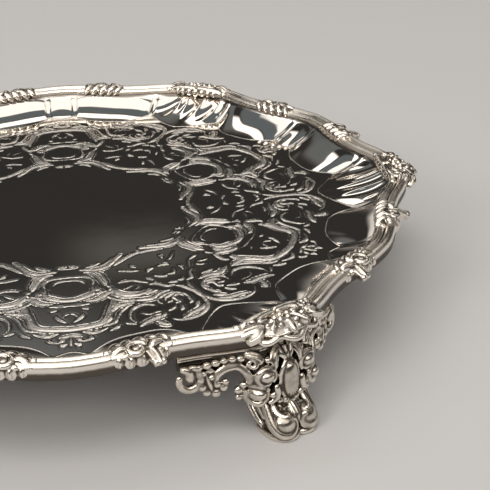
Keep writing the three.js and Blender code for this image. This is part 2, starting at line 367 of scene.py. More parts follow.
# ------------------------------------------------------------------ chasing
# Strokes of one half sector in thousandths of the radius: x from the sector's middle
# line, y outwards, half width. "b" strokes lie in every second sector.
CHASING = [
    ("c", "arch", [(0, 730, 10.3), (32, 726, 11.7), (59, 721, 10.3), (83, 711, 11.0), (98, 691, 12.1), (102, 667, 10.3), (108, 646, 11.7), (117, 626, 15.2), (115, 607, 9.0), (113, 589, 1.7)]),
    ("c", "archtail", [(120, 628, 13.1), (142, 622, 8.6), (170, 617, 1.4)]),
    ("c", "archedge", [(94, 727, 1.7), (113, 715, 4.5), (125, 688, 3.4), (131, 667, 4.1), (142, 646, 4.5), (159, 626, 1.4)]),
    ("c", "crest1", [(32, 746, 2.1), (54, 757, 6.9), (73, 754, 3.8), (94, 739, 1.7)]),
    ("c", "crest2", [(102, 754, 2.1), (117, 743, 5.2), (128, 725, 1.7)]),
    ("c", "fin0", [(0, 808, 2.4), (0, 791, 4.1), (0, 770, 1.7)]),
    ("c", "fin1", [(12, 802, 2.8), (21, 809, 4.1), (26, 797, 1.4)]),
    ("c", "fin2", [(16, 776, 1.7), (23, 786, 4.8), (26, 795, 2.1)]),
    ("c", "fin3", [(32, 795, 1.7), (45, 791, 3.4), (54, 782, 4.1), (51, 771, 1.4)]),
    ("c", "fin4", [(0, 762, 3.4), (13, 767, 4.8), (28, 770, 2.1)]),
    ("c", "inleaf", [(10, 695, 1.0), (24, 678, 4.8), (34, 662, 3.8), (35, 648, 1.0)]),
    ("c", "inleaf2", [(19, 667, 1.0), (12, 653, 2.4), (1, 646, 1.0)]),
    ("c", "inbase", [(32, 621, 1.0), (41, 626, 3.1), (50, 628, 1.0)]),
    ("c", "inbase2", [(0, 604, 1.7), (25, 605, 2.8), (53, 601, 1.0)]),
    ("c", "oval_top", [(0, 573, 9.7), (21, 570, 9.0), (42, 559, 10.3), (59, 546, 9.0), (66, 530, 6.2), (63, 513, 3.1), (65, 497, 1.7)]),
    ("c", "check1", [(45, 584, 2.1), (63, 584, 6.9), (84, 570, 9.0), (99, 552, 8.3), (117, 546, 3.4)]),
    ("c", "check2", [(117, 544, 3.4), (128, 563, 6.2), (137, 582, 5.2), (132, 595, 1.4)]),
    ("c", "curl", [(70, 548, 2.1), (83, 544, 4.1), (85, 531, 4.1), (74, 525, 2.8), (70, 534, 1.7)]),
    ("c", "oval_r", [(64, 494, 1.7), (67, 481, 4.1), (66, 465, 4.8), (58, 451, 3.8), (42, 443, 2.8), (18, 440, 2.1), (0, 439, 1.7)]),
    ("c", "oval_in", [(0, 460, 1.7), (18, 460, 2.8), (34, 467, 2.4), (42, 481, 1.4)]),
    ("c", "band_r", [(99, 501, 2.8), (97, 484, 10.3), (90, 460, 11.7), (82, 436, 13.1), (63, 419, 7.6), (42, 415, 1.7)]),
    ("c", "side", [(108, 534, 1.7), (113, 520, 3.4), (103, 508, 1.7)]),
    ("c", "garl1", [(32, 400, 1.7), (52, 402, 4.5), (78, 404, 8.6), (101, 394, 9.3), (119, 373, 7.6), (132, 350, 6.9), (148, 326, 5.9)]),
    ("c", "garl2", [(129, 388, 1.4), (142, 370, 5.9), (159, 349, 6.9), (180, 331, 5.9), (197, 318, 4.8)]),
    ("c", "sprig1", [(0, 387, 1.4), (13, 385, 3.1), (32, 380, 1.4)]),
    ("c", "sprig2", [(3, 369, 1.4), (12, 376, 3.4), (28, 374, 1.4)]),
    ("c", "sprig3", [(49, 386, 1.4), (69, 381, 4.1), (88, 364, 2.1)]),
    ("c", "sprig4", [(54, 412, 1.0), (70, 413, 2.8), (94, 423, 1.4)]),
    ("c", "ring", [(263, 724, 1.0), (283, 732, 2.8), (308, 729, 3.8), (332, 715, 4.8), (351, 691, 5.9), (361, 663, 6.2), (359, 636, 6.2), (351, 608, 6.6), (337, 584, 6.6), (320, 563, 6.6), (304, 548, 4.5), (286, 538, 1.4)]),
    ("c", "rl1", [(291, 725, 1.7), (301, 715, 4.8), (312, 701, 5.5), (328, 690, 7.6), (345, 674, 6.6), (353, 657, 1.7)]),
    ("c", "rl2", [(328, 670, 2.1), (335, 654, 6.6), (339, 638, 2.1)]),
    ("c", "rl3", [(290, 681, 1.7), (294, 667, 5.9), (292, 649, 1.7)]),
    ("c", "rl4", [(255, 678, 1.4), (269, 667, 3.8), (279, 649, 1.7)]),
    ("c", "ros1", [(243, 639, 1.0), (233, 622, 2.8), (237, 605, 3.4), (252, 588, 4.8), (273, 580, 4.1), (294, 584, 3.4), (311, 599, 3.1), (317, 619, 4.1), (321, 636, 4.5), (314, 647, 1.4)]),
    ("c", "ros2", [(253, 619, 1.4), (255, 604, 4.8), (263, 594, 6.2), (277, 586, 2.1)]),
    ("c", "ros3", [(279, 639, 1.7), (288, 632, 4.5), (281, 619, 3.4), (274, 606, 4.5), (283, 594, 3.8), (298, 595, 3.4), (301, 606, 1.4)]),
    ("c", "ros4", [(256, 632, 1.4), (265, 628, 3.4), (272, 619, 1.4)]),
    ("c", "cleft", [(169, 726, 1.0), (158, 708, 2.1), (156, 688, 3.4), (159, 663, 4.8), (169, 646, 5.5), (186, 634, 4.8), (204, 634, 3.1), (223, 641, 1.4)]),
    ("c", "cleft2", [(141, 720, 1.4), (152, 729, 3.4), (168, 733, 1.4)]),
    ("c", "topleaf", [(179, 747, 2.1), (193, 729, 6.6), (218, 712, 8.3), (239, 702, 6.6), (250, 686, 1.4)]),
    ("c", "topleaf2", [(223, 726, 2.4), (234, 741, 7.6), (248, 750, 5.9), (254, 739, 1.7)]),
    ("c", "thin1", [(183, 677, 0.7), (201, 688, 1.7), (221, 681, 1.7), (243, 671, 0.7)]),
    ("c", "link", [(172, 606, 1.7), (194, 604, 8.6), (218, 601, 9.0), (232, 584, 6.6), (252, 570, 4.1), (270, 561, 1.4)]),
    ("c", "sp1", [(201, 574, 1.4), (218, 568, 4.8), (236, 555, 1.4)]),
    ("c", "sp2", [(217, 520, 1.7), (235, 521, 4.1), (250, 530, 3.8), (265, 539, 5.5), (285, 534, 1.7)]),
    ("c", "sp3", [(269, 518, 1.7), (288, 519, 4.5), (292, 511, 1.4)]),
    ("c", "sp4", [(132, 497, 1.4), (150, 492, 3.8), (173, 490, 2.4), (194, 501, 2.4), (214, 510, 1.0)]),
    ("c", "sp5", [(212, 477, 1.4), (218, 488, 3.8), (229, 496, 1.4)]),
    ("c", "sp6", [(234, 471, 1.4), (246, 479, 3.8), (263, 481, 3.8), (270, 468, 1.4)]),
    ("c", "sp7", [(218, 446, 1.7), (222, 434, 5.2), (235, 423, 1.7)]),
    ("c", "sp8", [(137, 425, 1.4), (152, 429, 2.8), (173, 434, 3.1), (195, 432, 1.4)]),
    ("c", "sp9", [(172, 396, 1.4), (177, 406, 4.1), (187, 412, 1.4)]),
    ("c", "sp10", [(142, 539, 1.0), (159, 529, 2.1), (173, 515, 1.4)]),
    ("c", "sp11", [(173, 548, 0.7), (187, 529, 2.1), (186, 515, 1.0)]),
    ("b", "bigc", [(220, 553, 2.8), (205, 564, 6.2), (180, 573, 9.0), (147, 568, 11.7), (125, 549, 10.3), (114, 529, 2.8)]),
    ("b", "bigc2", [(187, 603, 1.4), (165, 606, 3.4), (135, 597, 4.1), (109, 579, 2.8), (97, 559, 1.0)]),
]


# ------------------------------------------------------------------ materials
def silver(name, tint=(0.93, 0.905, 0.865), rough=0.09, shade_and_tarnish=0.6, start=0.05, full=0.35, grain=0.0, grain_size=900.0, chased=False):
    """Polished silver: a soft warm tint that varies, fine wiping marks, and dark oxide mixed
    with painted shade in the recesses and creases, read from the mesh's own depth values."""
    mat = bpy.data.materials.new(name)
    mat.use_nodes = True
    nt = mat.node_tree
    nt.nodes.clear()
    N, L = nt.nodes.new, nt.links.new
    out, bsdf = N("ShaderNodeOutputMaterial"), N("ShaderNodeBsdfPrincipled")
    L(bsdf.outputs[0], out.inputs[0])
    bsdf.inputs["Metallic"].default_value = 1.0
    tc = N("ShaderNodeTexCoord")

    def noise(scale, detail=4, rough_=0.55):
        k = N("ShaderNodeTexNoise")
        k.inputs["Scale"].default_value = scale
        k.inputs["Detail"].default_value = detail
        k.inputs["Roughness"].default_value = rough_
        L(tc.outputs["Object"], k.inputs["Vector"])
        return k.outputs["Fac"]

    def remap(sock, a, b, c, d):
        k = N("ShaderNodeMapRange")
        k.interpolation_type = "SMOOTHSTEP"
        for i, val in zip((1, 2, 3, 4), (a, b, c, d)):
            k.inputs[i].default_value = val
        L(sock, k.inputs[0])
        return k.outputs[0]

    def mix(fac, a, b):
        k = N("ShaderNodeMix")
        k.data_type = "RGBA"
        L(fac, k.inputs[0])
        for sock, val in ((k.inputs[6], a), (k.inputs[7], b)):
            if isinstance(val, tuple):
                sock.default_value = (*val, 1)
            else:
                L(val, sock)
        return k.outputs[2]

    def math_(op, a, b):
        k = N("ShaderNodeMath")
        k.operation = op
        for sock, val in ((k.inputs[0], a), (k.inputs[1], b)):
            if isinstance(val, float):
                sock.default_value = val
            else:
                L(val, sock)
        return k.outputs[0]

    cool = tuple(c * k for c, k in zip(tint, (0.955, 0.965, 0.985)))
    base = mix(remap(noise(26.0), 0.35, 0.65, 0, 1), tint, cool)
    at = N("ShaderNodeAttribute")
    at.attribute_name = "cavity"
    speck = math_("MULTIPLY_ADD", noise(420.0, 3), 0.12)
    speck.node.inputs[2].default_value = -0.06
    depth = math_("ADD", at.outputs["Fac"], speck)
    # painted shade: this mask lays dark brown into recesses, creases and grooves, standing for shade there as well as
    # for oxide
    oxide_and_shade = remap(depth, start, full, 0, shade_and_tarnish)
    base = mix(oxide_and_shade, base, (0.060, 0.048, 0.038))
    L(base, bsdf.inputs["Base Color"])
    r = remap(noise(60.0), 0.3, 0.7, rough * 0.75, rough * 1.3)
    r = math_("ADD", r, math_("MULTIPLY", oxide_and_shade, 0.22))
    if chased:
        c = N("ShaderNodeAttribute")
        c.attribute_name = "chased"
        r = math_("ADD", r, math_("MULTIPLY", c.outputs["Fac"], chased))
    L(r, bsdf.inputs["Roughness"])
    # wiping marks, long and shallow, with a finer cast grain where asked
    mp = N("ShaderNodeMapping")
    mp.inputs["Scale"].default_value = (1, 1, 0.2)
    L(tc.outputs["Object"], mp.inputs["Vector"])
    wipe = N("ShaderNodeTexNoise")
    wipe.inputs["Scale"].default_value = 55.0
    wipe.inputs["Detail"].default_value = 2
    L(mp.outputs[0], wipe.inputs["Vector"])
    bump = N("ShaderNodeBump")
    bump.inputs["Strength"].default_value = 0.10
    bump.inputs["Distance"].default_value = 0.0002
    L(wipe.outputs["Fac"], bump.inputs["Height"])
    last = bump
    if grain:
        g = N("ShaderNodeBump")
        g.inputs["Strength"].default_value = grain
        g.inputs["Distance"].default_value = 0.00025
        L(noise(grain_size, 2, 0.5), g.inputs["Height"])
        L(bump.outputs[0], g.inputs["Normal"])
        last = g
    if chased:
        m = N("ShaderNodeBump")
        m.inputs["Distance"].default_value = 0.0003
        L(math_("MULTIPLY", c.outputs["Fac"], 0.40), m.inputs["Strength"])
        L(noise(620.0, 2, 0.5), m.inputs["Height"])
        L(last.outputs[0], m.inputs["Normal"])
        last = m
    L(last.outputs[0], bsdf.inputs["Normal"])
    return mat


# the fourth value sets how dark the painted shade and oxide in the recesses get; foot and mounts start darkening even
# on flat ground
M_TRAY = silver("chased_sheet_silver", (0.94, 0.90, 0.85), 0.05, shade_and_tarnish=0.8, start=0.04, full=0.25, chased=0.22)
M_BORDER = silver("polished_border_silver", (0.945, 0.885, 0.81), 0.30, shade_and_tarnish=0.93, start=0.08, full=0.38)
M_MOUNT = silver("cast_mount_silver", (0.95, 0.885, 0.80), 0.17, shade_and_tarnish=0.95, start=-0.05, full=0.14, grain=0.12, grain_size=1300)
M_FOOT = silver("cast_foot_silver", (0.96, 0.885, 0.78), 0.15, shade_and_tarnish=0.96, start=-0.13, full=0.09, grain=0.12, grain_size=1300)


# ------------------------------------------------------------------ tray
def stroke_field(px, py, strokes):
    """Depth and mask of the chasing at plan points, in mm. px, py in radii, mid-sector up."""
    height = np.zeros(px.shape)
    mask = np.zeros(px.shape)
    moat = np.zeros(px.shape)
    qx, qy = px * R, py * R
    for kind, name, rows in strokes:
        c = through(np.array(rows, float) * R / 1000, max(12, 7 * len(rows)))
        best = np.full(px.shape, 9.0)  # signed: distance from the edge of the stroke, negative inside
        wide = np.full(px.shape, 0.5)
        x0, x1 = c[:, 0].min() - 3, c[:, 0].max() + 3
        y0, y1 = c[:, 1].min() - 3, c[:, 1].max() + 3
        near = (qx > x0) & (qx < x1) & (qy > y0) & (qy < y1)
        if not near.any():
            continue
        ax, ay = qx[near], qy[near]
        b, w_at = np.full(ax.shape, 9.0), np.full(ax.shape, 0.5)
        for i in range(len(c) - 1):
            dx, dy = c[i + 1, :2] - c[i, :2]
            t = np.clip(((ax - c[i, 0]) * dx + (ay - c[i, 1]) * dy) / max(dx * dx + dy * dy, 1e-9), 0, 1)
            w = np.maximum(c[i, 2] + (c[i + 1, 2] - c[i, 2]) * t, 0.16)
            w = w - 0.16 * np.maximum(w - 0.7, 0)
            d = np.hypot(ax - c[i, 0] - t * dx, ay - c[i, 1] - t * dy) - w
            sel = d < b
            b = np.where(sel, d, b)
            w_at = np.where(sel, w, w_at)
        best[near], wide[near] = b, w_at
        inside = np.clip(-best / wide, 0, 1)  # 0 at the edge, 1 on the spine
        h = np.minimum(0.22 * wide + 0.07, 0.36)
        ridge = h * (1 - (1 - inside) ** 2.0)
        ridge = ridge * (1 - 0.6 * np.clip((wide - 0.62) / 0.3, 0, 1) * np.exp(-((inside - 1) / 0.22) ** 2))
        height = np.maximum(height, np.where(best < 0, ridge, 0))
        mask = np.maximum(mask, np.clip(0.5 - best / 0.25, 0, 1))
        moat = np.maximum(moat, np.exp(-((best - 0.22) / 0.28) ** 2) * np.clip(wide / 0.5, 0.4, 1))
    return height, mask, moat


def chasing(columns, radii):
    """Height, mask and groove over the whole ring. Columns run once round, a whole number in
    each half sector; the pattern mirrors about the middle of each sector and about each
    shell, and every second sector carries its extra strokes."""
    per = columns // 12
    t = np.radians(np.arange(per + 1) * 30.0 / per)
    rr = radii(30 - np.arange(per + 1) * 30.0 / per)
    tt = t[:, None] + 0 * rr
    out = []
    for kinds in (("c",), ("c", "b")):
        keep = [s for s in CHASING if s[0] in kinds]
        # a fine line follows each broad stroke on its outer side
        for k, n, rows in list(keep):
            if max(r[2] for r in rows) < 7.5:
                continue
            c = through(np.array(rows, float), 9)
            t = np.gradient(c[:, :2], axis=0)
            t = t / np.maximum(np.hypot(t[:, 0], t[:, 1]), 1e-6)[:, None]
            for side in (-1, 1):
                off = c[:, :2] + side * np.stack([-t[:, 1], t[:, 0]], -1) * (c[:, 2:] + 5.5)
                keep = keep + [(k, n + "_line", [(off[i, 0], off[i, 1], 0.6 if i in (1, 7) else 1.5) for i in range(1, 8)])]
        both = keep + [(k, n + "_m", [(-x, y, w) for x, y, w in r]) for k, n, r in keep]
        cs, sn = math.cos(math.radians(60)), math.sin(math.radians(60))
        # strokes of the next sector that reach over the shell's line: mirrored about t = 30 degrees
        both += [(k, n + "_s", [(-x * cs + y * sn, x * sn + y * cs, w) for x, y, w in r]) for k, n, r in keep]
        out.append(stroke_field(rr * np.sin(tt) / R, rr * np.cos(tt) / R, both))
    result = [np.zeros((columns, rr.shape[1])) for _ in range(3)]
    # column 0 lies at the part angle -90 (a shell); the sector middles lie at -60 + 60 k
    for j in range(columns):
        deg = -90 + 360.0 * j / columns
        off = (deg + 90) % 60 - 30  # from the middle of its sector
        k = int(round(abs(off) / 30.0 * per))
        sector = int(((deg + 90) // 60)) % 6  # 0 has its middle at -60
        which = out[1 if sector % 2 else 0]
        for a in range(3):
            result[a][j] = which[a][min(k, per)]
    return result


def make_tray():
    cols = 1440
    deg = -90 + np.arange(cols) * 360.0 / cols
    d = from_shell(deg)
    foot = cove_foot(d)
    mid = border_radius(deg)
    rings, cav, chz = [], [], []

    def ring(r, z, c=0.0, m=0.0):
        a = np.radians(deg)
        rings.append(np.stack([r * np.cos(a), r * np.sin(a), PLATE + z + 0 * a], -1))
        cav.append(c + np.zeros(cols))
        chz.append(m + np.zeros(cols))

    for r in (0.6, 12, 24, 36, 46):
        ring(np.full(cols, float(r)), 0.0)
    # chased band: a polar grid, its outer rings drawn out to the foot of the cove
    inner, n = 0.345 * R, 160

    def radii(off):
        last = np.minimum(0.812 * R, cove_foot(off) - 0.9)
        return inner + (last - inner)[:, None] * np.linspace(0, 1, n)

    high, mask, moat = chasing(cols, radii)
    rad = radii(d)
    outer = rad[:, -1]
    for i in range(n):
        # painted shade: the ground round each stroke is sunk a little and given depth value, which darkens the groove
        # as an outline
        z = high[:, i] - 0.10 * moat[:, i] * (1 - mask[:, i])
        ring(rad[:, i], z, moat[:, i] * (1 - mask[:, i]) * 0.17, mask[:, i])
    for s in (0.3, 0.6, 0.85):
        ring(outer + (foot - 0.3 - outer) * s, 0.0)
    ring(foot - 0.42, 0.0, 0.0, 0.3)
    ring(foot - 0.18, 0.13, 0.0, 0.4)
    # cove: panels between sharp ridges, scooped like spoons under each shell
    top_r = mid - 3.75
    steps = np.linspace(0, 1, 40)
    slope_t = np.array([0, 0.19, 0.5, 0.75, 0.9, 1.0])
    slope_v = np.array([0.15, 0.21, 0.31, 0.46, 0.66, 0.95])
    fine = np.linspace(0, 1, 400)
    z_of = np.concatenate([[0], np.cumsum(np.interp((fine[1:] + fine[:-1]) / 2, slope_t, slope_v)) * (fine[1] - fine[0])])
    z_of *= 7.1 / z_of[-1]
    turn = (deg + 90 + 30) % 60 - 30
    a = np.abs(d)
    ridge = np.clip(1.7 * (1 - np.abs(a - 8.7) / 0.62), 0, 1) + np.clip(1.7 * (1 - np.abs(a - 27) / 0.62), 0, 1)

    def cove(t):
        z = np.interp(t, fine, z_of) + np.zeros(cols)
        for lo, hi in ((-8.5, -6.2), (-6.2, -2.2), (-2.2, 1.0), (1.0, 2.6), (2.6, 8.5)):
            c = (turn - (lo + hi) / 2) / ((hi - lo) / 2)
            reach = 0.78 if hi - lo > 3 else 0.55
            q = max(0.97 - t, 0) / reach
            deep = min(0.22 * (hi - lo), 0.85)
            z = z - deep * np.clip(1 - c * c - q * q, 0, 1) * (np.abs(c) < 1)
        z = z - 0.22 * np.clip(1 - ((a - 17.8) / 8.9) ** 2, 0, 1) * np.sin(np.pi * min(t, 1))
        return z + 0.46 * ridge * np.sin(np.pi * min(t * 0.94 + 0.05, 1)) ** 0.7

    for t in steps:
        # painted shade along the creases beside the cove's ridges and at the top of the cove under the lip, carried in
        # the depth values
        line = 0.17 * np.exp(-((np.minimum(np.abs(a - 8.7), np.abs(a - 27)) - 0.62) / 0.22) ** 2)
        under = 0.42 * np.clip((t - 0.93) / 0.06, 0, 1) ** 0.7
        ring(foot + (top_r - foot) * t, cove(t), np.maximum(line, under), 0.5 if t == 0 else 0.0)
    # lip tucked behind the inner bead, then the flange under the border; their depth values paint shade under the
    # border
    ring(mid - 3.2, 6.5, 0.6)
    ring(mid - 2.6, 6.0, 0.3)
    ring(mid + 2.3, 6.0, 0.3)
    ring(mid + 2.4, 5.6, 0.1)
    ring(mid + 2.3, 5.1, 0.1)
    ring(mid - 3.0, 5.0)
    # underside, following the cove a sheet's thickness below
    for t in (0.93, 0.85, 0.75, 0.62, 0.5, 0.38, 0.25, 0.12, 0.0):
        zz = cove(t)
        sl = np.interp(t, slope_t, slope_v) * 1.1
        k = 1 / np.hypot(1, sl)
        ring(foot + (top_r - foot) * t + 1.0 * sl * k, zz - 1.0 * k - 0.05)
    ring(foot - 2.0, -1.0)
    for r in (100, 70, 30, 0.6):
        ring(np.full(cols, float(r)), -1.0)
    p = np.stack(rings)  # ring, column
    soup = Soup()
    soup.closed_tube(p)
    v = soup.verts()
    q, t = soup.faces()
    me = mesh_from("tray", v, q, t)
    fill = lambda rows: np.concatenate([np.concatenate(rows), [0, 0]])
    add_values(me, "cavity", fill(cav))
    add_values(me, "chased", fill(chz))
    return piece("tray", me, ["tray_body"], M_TRAY)


# ------------------------------------------------------------------ border
def arc(cu, cv, r, a0, a1, n):
    a = np.radians(np.linspace(a0, a1, n))
    return np.stack([cu + r * np.cos(a), cv + r * np.sin(a)], -1)


def border_profile():
    """Thick outer bead, thinner inner bead, a groove between them and a plain outer face."""
    rows = [
        np.array([(2.75, 4.0), (3.35, 3.95), (3.5, 4.3), (3.38, 5.6), (3.35, 6.7)]),
        arc(1.75, 8.0, 1.95, -28, 186, 17),
        np.array([(-0.38, 7.15)]),
        arc(-2.15, 7.75, 1.52, 14, 214, 14),
        np.array([(-3.2, 6.35), (0.0, 6.32), (2.75, 6.3)]),
    ]
    return np.concatenate(rows)


def make_border():
    prof = border_profile()
    steps = 210
    gap = math.degrees(0.05 / R)
    a = np.linspace(-30 + gap, 30 - gap, steps)
    for k in range(6):
        mid = -90 + 60 * (k + 0.5)
        p = on_border((mid + a)[:, None], prof[None, :, 0], prof[None, :, 1])
        soup = Soup()
        soup.closed_tube(p)
        q, t = soup.faces()
        me = mesh_from(f"border_{k + 1}", soup.verts(), q, t)
        v, n, e = read_mesh(me)
        cav = cavity_of(v * 1000, n, e, 8)
        # painted shade in the groove between the two beads
        groove = np.tile(np.exp(-((prof[:, 0] + 0.4) / 0.42) ** 2) * (prof[:, 1] < 8.4) * (prof[:, 1] > 6.8) * 0.5, steps)
        cav[: len(groove)] = np.maximum(np.clip(cav[: len(groove)], -1, 0.2), groove)
        # painted reflection: the plain outer face is darkened to stand for the dark surroundings it mirrors
        face = np.tile(np.clip((prof[:, 0] - 2.6) / 0.6, 0, 1) * np.clip((7.0 - prof[:, 1]) / 0.6, 0, 1) * 0.46, steps)
        cav[: len(face)] = np.maximum(cav[: len(face)], face)
        add_values(me, "cavity", cav)
        piece(f"reeded_border_{k + 1}", me, [f"border_section_{k + 1}"], M_BORDER)


# ------------------------------------------------------------------ mounts on the border
def shell_soup():
    """A rococo shell over the border, in (s along, u out, v up) millimetres."""
    so = Soup()
    # fan: a domed field with shallow lobes, thick enough to swallow the reeds
    ni, nj = 101, 21
    span = math.radians(99)
    ang = np.linspace(-1, 1, ni)[:, None] * span
    rho = np.linspace(0, 1, nj)[None]
    ribs = 5
    wave = np.cos(ang / span * math.pi * ribs)
    s = np.sin(ang) * (3.4 + 10.6 * rho)
    u = -2.4 + np.cos(ang) * (1.4 + 9.4 * rho) * np.where(np.cos(ang) > 0, 1, 0.42)
    v = 9.4 + 0.9 * np.sin(np.minimum(rho * 1.6, 1) * math.pi * 0.6) - 5.0 * np.clip(rho - 0.50, 0, 1) ** 1.25 + 0.26 * wave * np.clip(rho * 1.8 - 0.6, 0, 1)
    v = v - 1.5 * (1 - np.clip(np.cos(ang) + 0.5, 0, 1)) * rho
    top = np.stack([s, u + 0 * rho, v], -1)
    bottom = top.copy()
    bottom[..., 2] = np.minimum(bottom[..., 2] - 1.6, 8.6)
    bottom[..., 0] *= 0.95
    bottom[..., 1] = bottom[..., 1] * 0.95 - 0.1
    slab(so, top, bottom)
    # the rolled edge: a thick bead that swings in and out in scallops
    a = np.linspace(-1, 1, 161)
    w = np.cos(a * math.pi * ribs)
    an = a * math.radians(94)
    rows = np.stack([np.sin(an) * (14.4 + 0.5 * w), -2.3 + np.cos(an) * (10.75 + 0.75 * w), 6.9 - 1.3 * (0.5 + 0.5 * w) + 0.5 * a * a, 1.02 + 0.10 * w], -1)
    tube(so, rows, n=360, sides=14)
    # short pillars under the scallops, with dark windows between them
    for i in range(-4, 5, 2):
        an = math.radians(94) * i / ribs
        s0, u0 = math.sin(an) * 14.2, -2.3 + math.cos(an) * 10.6
        tube(so, [(s0, u0 - 0.4, 5.8, 0.85), (s0 * 0.985, u0 - 1.6, 4.7, 0.95), (s0 * 0.97, min(u0 - 2.6, 4.6), 3.5, 0.85)], ref=(0, 1, 0), n=12)
    # inner side: rounded buds and the reed rising over them in an arch
    for s0, r0 in ((-10.4, 1.6), (-7.2, 1.9), (-3.6, 2.0), (0.2, 2.15), (4.0, 2.0), (7.6, 1.8), (10.6, 1.5)):
        pearl(so, (s0, -4.0 - 0.10 * (10 - abs(s0)), 8.3), r0, (1.0, 0.95, 1.0), 18)
    for m in (-1, 1):
        tube(so, [(15.0 * m, -2.2, 8.2, 1.25), (11.8 * m, -2.7, 9.2, 1.45), (8.2 * m, -3.6, 9.8, 1.4), (4.2 * m, -4.3, 10.1, 1.25), (0.2 * m, -4.5, 10.2, 1.15)], n=50, ridges=2, depth=0.08)
        volute(so, (11.0 * m, -0.6, 10.0), 2.2, 0.5, 90, (90 + 400 * m), 0.9, 0.6, e1=(1, 0, 0), e2=(0, 1, 0), lift=0.4 * m)
        tube(so, [(8.4 * m, 0.2, 10.2, 0.8), (6.8 * m, -1.6, 10.4, 0.95), (3.8 * m, -2.5, 10.45, 0.95), (0.2 * m, -2.8, 10.4, 0.95)], n=40)
        # bud and leaf ends of the outer bead
        blade(so, [(15.9 * m, 1.7, 8.3, 1.9), (13.6 * m, 2.0, 9.3, 2.6), (11.0 * m, 2.4, 10.1, 2.5), (8.4 * m, 2.6, 10.3, 1.3)], crown=0.32, ribs=3, rib=0.08, thick=2.2)
        blade(so, [(14.4 * m, 4.2, 6.8, 1.2), (13.0 * m, 4.8, 7.9, 2.0), (11.2 * m, 4.6, 9.0, 2.0), (9.8 * m, 3.8, 9.8, 1.1)], crown=0.32, ribs=2, rib=0.08, thick=2.0)
        pearl(so, (15.6 * m, -2.1, 8.2), 1.7, (1.1, 1, 1))
    # ribs fanning over the field and pearls on the punched ground
    for i in range(-4, 5, 2):
        an = math.radians(86) * i / 5
        c, n = math.cos(an), math.sin(an)
        tube(so, [(n * 5.0, -1.6 + c * 3.4, 10.2, 0.5), (n * 8.2, -2.0 + c * 6.4, 9.9, 0.75), (n * 11.0, -2.2 + c * 9.2, 8.6, 0.8), (n * 12.6, -2.3 + c * 10.8, 7.2, 0.7)], n=24, sides=10)
    for s0, u0, v0, r0 in [(0, -0.4, 10.2, 1.2), (-2.6, 0.2, 10.3, 1.0), (2.6, 0.2, 10.3, 1.0), (-1.5, 2.0, 10.3, 0.9), (1.5, 2.0, 10.3, 0.9), (-4.6, 1.6, 10.3, 0.95), (4.6, 1.6, 10.3, 0.95), (-2.9, 4.6, 9.8, 0.85), (2.9, 4.6, 9.8, 0.85), (-6.9, 3.0, 9.9, 0.85), (6.9, 3.0, 9.9, 0.85), (-2.2, 7.0, 8.5, 0.8), (2.2, 7.0, 8.5, 0.8), (-6.6, 5.6, 8.6, 0.8), (6.6, 5.6, 8.6, 0.8), (-9.2, 4.0, 8.9, 0.8), (9.2, 4.0, 8.9, 0.8)]:
        pearl(so, (s0, u0, v0), r0)
    return so


